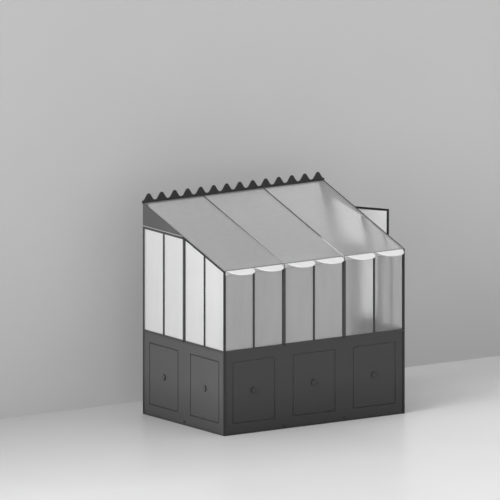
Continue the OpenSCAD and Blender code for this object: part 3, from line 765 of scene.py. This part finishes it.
# %% Rivets
RIVET_PITCH = 130 * MM
RIVET_INSET = 11 * MM
GABLE_INSET = 22 * MM
PANEL_END = 22 * MM
ROW_TRIES = 6
STRIP_PITCH = 118 * MM

rivets = {"frame": [], "door": []}
for node in panel_nodes:
    outward, reach = outward_of[node]
    along = UP.cross(outward)
    places = [v.co.dot(along) for v in frame["nodes"][node].data.vertices]
    low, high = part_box(node)
    for height, inward in ((low.z, 1), (high.z, -1)):
        for row in range(1, ROW_TRIES):          # rails may hide the rows near an edge
            level = height + inward * row * RIVET_INSET
            ends = [along * (side + inset) + outward * reach + UP * level
                    for side, inset in ((min(places), PANEL_END), (max(places), -PANEL_END))]
            spots = drop(steel, between(*ends, RIVET_PITCH), outward, reach)
            if spots:
                break
        rivets[frame["nodes"][node]["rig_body"]] += [(spot, outward) for spot in spots]

gable_low, gable_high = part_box("gable_panels")
gable = surfaces(["gable_panels"])
for outward, side_x in ((OUT_LEFT, left_x), (OUT_RIGHT, right_x)):
    foot = [Vector((side_x, y, gable_low.z + GABLE_INSET))
            for y in (gable_low.y + PANEL_END, gable_high.y - PANEL_END)]
    rivets["frame"] += [(spot, outward)
                        for spot in drop(gable, between(*foot, RIVET_PITCH), outward)]

crest_low, crest_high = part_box("cresting")
band = crest_low.z + RIVET_INSET
crest = surfaces(["cresting"])
crest_ends = [Vector((x, crest_low.y, band)) for x in (crest_low.x + PANEL_END, crest_high.x - PANEL_END)]
rivets["frame"] += [(spot, OUT_FRONT)
                    for spot in drop(crest, between(*crest_ends, RIVET_PITCH), OUT_FRONT)]

strip_low, strip_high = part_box("eave_scallops")
strips = surfaces(["eave_scallops"])
strip_ends = [Vector((x, front_y, strip_low.z + RIVET_INSET))
              for x in (strip_low.x + PANEL_END, strip_high.x - PANEL_END)]
strip_rivets = [(spot, OUT_FRONT)
                for spot in drop(strips, between(*strip_ends, STRIP_PITCH), OUT_FRONT)]
print("rivets:", {body: len(spots) for body, spots in rivets.items()}, "on strips:", len(strip_rivets))

# %% Cap nuts and anchors
NUT_DADO = 11 * MM                     # below the top of the base
NUT_SILL = 32 * MM                     # above the ground
ANCHOR_INSET = 27 * MM                 # from the outer edge of the sill
ANCHORS_A_BAY = 2


def over_bays(start, pitch, bays):
    """Places spread evenly over the bays of a side."""
    step = pitch / ANCHORS_A_BAY
    return [start + step * (k + 0.5) for k in range(ANCHORS_A_BAY * bays)]


nut_spots = []
for height in (base_top - NUT_DADO, NUT_SILL):
    points = [Vector((left_x + bay * k, front_y, height)) for k in range(1, FRONT_BAYS)]
    nut_spots += [(spot, OUT_FRONT) for spot in drop(steel, points, OUT_FRONT)]
    post_low, post_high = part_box("side_post_left")
    point = Vector((left_x, (post_low.y + post_high.y) / 2, height))
    nut_spots += [(spot, OUT_LEFT) for spot in drop(steel, [point], OUT_LEFT)]

sills = surfaces([node for node in frame["nodes"] if node.startswith("sill")])
points = [Vector((x, y, sill_low.z)) for x in over_bays(left_x, bay, FRONT_BAYS)
          for y in (front_y + ANCHOR_INSET, back_y - ANCHOR_INSET)]
points += [Vector((x, y, sill_low.z)) for y in over_bays(front_y, side_bay, SIDE_BAYS)
           for x in (left_x + ANCHOR_INSET, right_x - ANCHOR_INSET)]
anchor_spots = [(spot, UP) for spot in drop(sills, points, UP)]
print("cap nuts:", len(nut_spots), "anchors:", len(anchor_spots))

# %% Setting the heads
HEAD_SIZE = 1.0


def set_heads(name, spots, template_head, paint, body, seed):
    """Grows one piece with a head at each spot, and fixes it to a body."""
    points, outwards = zip(*spots)
    mesh = marked_mesh(name + "_spots", points, [], outwards)
    piece = grow(name, mesh, fixing_tree, {"Head": template_head, "Size": HEAD_SIZE,
                 "Seed": seed, "Paint": paint}, body)
    print(piece.name, "has", len(piece.data.polygons), "faces")


set_heads("frame_rivets", rivets["frame"], rivet_head, frame_paint, "frame", 1)
set_heads("door_rivets", rivets["door"], rivet_head, frame_paint, "door", 2)
set_heads("strip_rivets", strip_rivets, rivet_head, white, "frame", 3)
set_heads("cap_nuts", nut_spots, cap_nut, corner_paint, "frame", 4)
set_heads("anchors", anchor_spots, anchor, frame_paint, "frame", 5)
for template_head in (rivet_head, cap_nut, anchor):
    bpy.data.objects.remove(template_head)

# %% [markdown]
# ## Floor and house wall
# A pale floor and a plain wall close behind the building catch its shadow, as in a studio.
# The floor has a soft sheen. Its tone is painted darker near the wall, as painted shade, and
# lighter to the right, as painted light, up to a tone that stays short of white. The wall
# would hide the building from behind, so its back face lets everything through.

# %% Floor and house wall
WALL_GAP = 0.57                        # from the building's back to the wall
STAGE_REACH = 14.0
FLOOR_SHADED_NEAR, FLOOR_FAR = 0.60, 0.97     # tones at the wall, painted shade, and out in front
FLOOR_PALE_AT = 4.0                    # how far in front of the wall the floor is palest
FLOOR_PAINTED_LIGHT_SIDEWAYS = (0.90, 1.22)          # painted light: what multiplies them on the left and far to the right
FLOOR_SIDE = 2.4                       # how far out to the right that is reached
FLOOR_PALEST = 0.86                    # a tone it never goes past, so that it does not clip
FLOOR_ROUGHNESS = 0.30
WALL_TONE = 0.555
WALL_ROUGHNESS = 0.90
DRIFT_SCALE = 1.2
DRIFT = (0.98, 1.02)                   # how far the tone drifts from place to place

wall_y = back_y + WALL_GAP


def stage_finish(name, tone, roughness):
    """A plain finish; its tone is a number or a function of the place that makes one."""
    material, tree, shader = new_finish(name)
    place = add(tree, "ShaderNodeTexCoord").outputs["Object"]
    shade = remap(tree, noise(tree, place, DRIFT_SCALE), 0.0, 1.0, *DRIFT)
    if callable(tone):
        tone = tone(tree, place)
    tree.links.new(multiply(tree, shade, tone), shader.inputs["Base Color"])
    shader.inputs["Roughness"].default_value = roughness
    return material, tree, shader


def stage_sheet(name, corners, material):
    """A flat four-cornered sheet, wound so that it faces the building."""
    mesh = bpy.data.meshes.new(name)
    mesh.from_pydata([Vector(c) for c in corners], [], [(0, 1, 2, 3)])
    mesh.materials.append(material)
    sheet = bpy.data.objects.new(name, mesh)
    bpy.context.scene.collection.objects.link(sheet)


def painted_floor_light_and_shade(tree, place):
    """The floor's tone: painted shade near the wall, painted light to the right."""
    axes = add(tree, "ShaderNodeSeparateXYZ", {"Vector": place}).outputs
    outward = remap(tree, axes["Y"], wall_y - FLOOR_PALE_AT, wall_y, FLOOR_FAR, FLOOR_SHADED_NEAR)
    sideways = remap(tree, axes["X"], 0.0, FLOOR_SIDE, *FLOOR_PAINTED_LIGHT_SIDEWAYS)
    return math_node(tree, "MINIMUM", multiply(tree, outward, sideways), FLOOR_PALEST)


floor_finish = stage_finish("floor_finish", painted_floor_light_and_shade, FLOOR_ROUGHNESS)[0]
wall_finish, wall_tree, wall_shader = stage_finish("wall_finish", WALL_TONE, WALL_ROUGHNESS)
behind = add(wall_tree, "ShaderNodeNewGeometry").outputs["Backfacing"]
show_where(wall_tree, wall_shader, math_node(wall_tree, "SUBTRACT", 1.0, behind))

reach = STAGE_REACH
stage_sheet("floor", [(-reach, -reach, 0), (reach, -reach, 0), (reach, reach, 0), (-reach, reach, 0)],
            floor_finish)
stage_sheet("house_wall", [(-reach, wall_y, 0), (reach, wall_y, 0), (reach, wall_y, reach),
                           (-reach, wall_y, reach)], wall_finish)
print("wall stands at y =", round(wall_y, 3))

# %% [markdown]
# ## Light
# A white surround gives every side an even base of light. One broad, nearly level lamp on
# the left makes that side brighter than the front, which is what tells the two apart. It
# is left out of glossy reflections, or a floor seen against it would glare.

# %% Light
SURROUND = 0.66
SIDE_LIGHT = 6.65
SIDE_LIGHT_SPREAD = 60.0               # degrees across
SIDE_LIGHT_FROM = Vector((-1, 0, 0.2))

world = bpy.data.worlds.new("surround")
world.use_nodes = True
world.node_tree.nodes.clear()
sky = add(world.node_tree, "ShaderNodeBackground", {"Color": grey(1.0), "Strength": SURROUND})
add(world.node_tree, "ShaderNodeOutputWorld", {"Surface": sky.outputs["Background"]})
bpy.context.scene.world = world
bpy.context.scene.view_settings.view_transform = "Standard"

side_data = bpy.data.lights.new("side_light", "SUN")
side_data.angle = math.radians(SIDE_LIGHT_SPREAD)
side_data.energy = SIDE_LIGHT
side_light = bpy.data.objects.new("side_light", side_data)
side_light.rotation_mode = "QUATERNION"
side_light.rotation_quaternion = SIDE_LIGHT_FROM.to_track_quat("Z", "Y")
side_light.visible_glossy = False
bpy.context.scene.collection.objects.link(side_light)
print("side light", SIDE_LIGHT, "surround", SURROUND)
